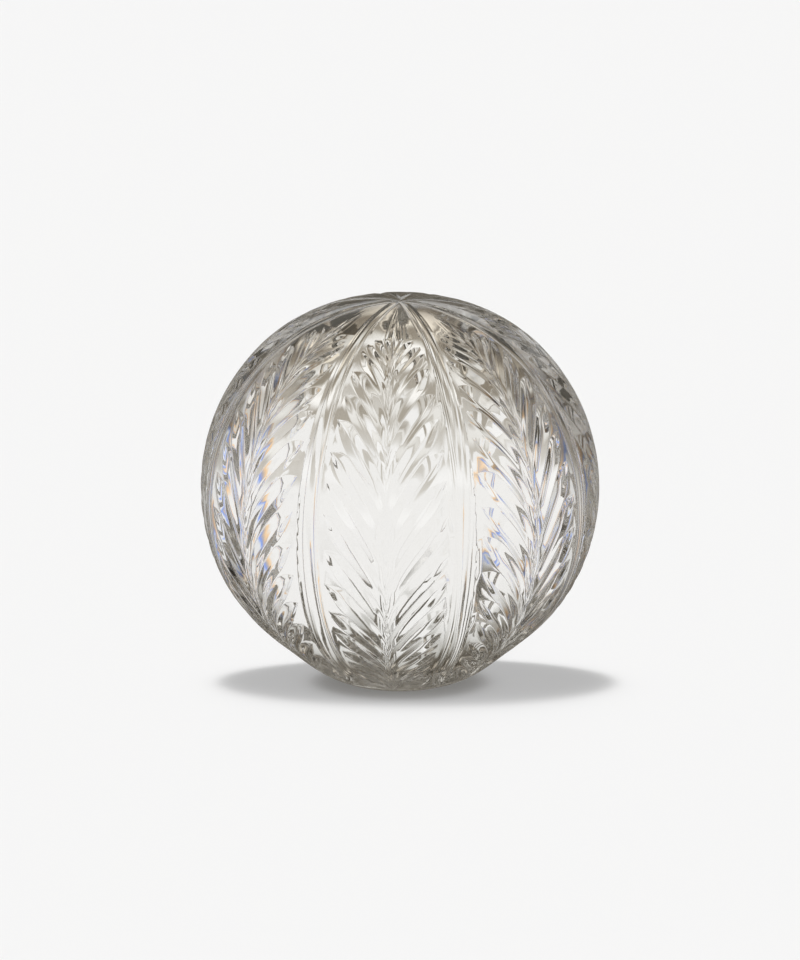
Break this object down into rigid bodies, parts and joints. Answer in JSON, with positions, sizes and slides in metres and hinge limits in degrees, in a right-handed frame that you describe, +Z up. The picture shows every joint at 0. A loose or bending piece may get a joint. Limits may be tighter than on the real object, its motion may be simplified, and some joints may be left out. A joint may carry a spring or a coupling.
{
  "type": "cut crystal ball ornament",
  "caption": "Solid clear crystal ball, wheel cut with meridian grooves and palm leaf sprays between them, standing on a small flat base.",
  "frame": {"origin": "centre of the flat ground base", "axes": "+Z up along the ball's axis, from the base to the pole where the grooves meet; -Y is the side seen from the front"},
  "size_m": [0.1, 0.1, 0.0961],
  "materials": {
    "crystal": "clear, polished, wheel cut"
  },
  "bodies": {
    "root": {"cut_crystal_ball": "crystal"}
  },
  "joints": []
}
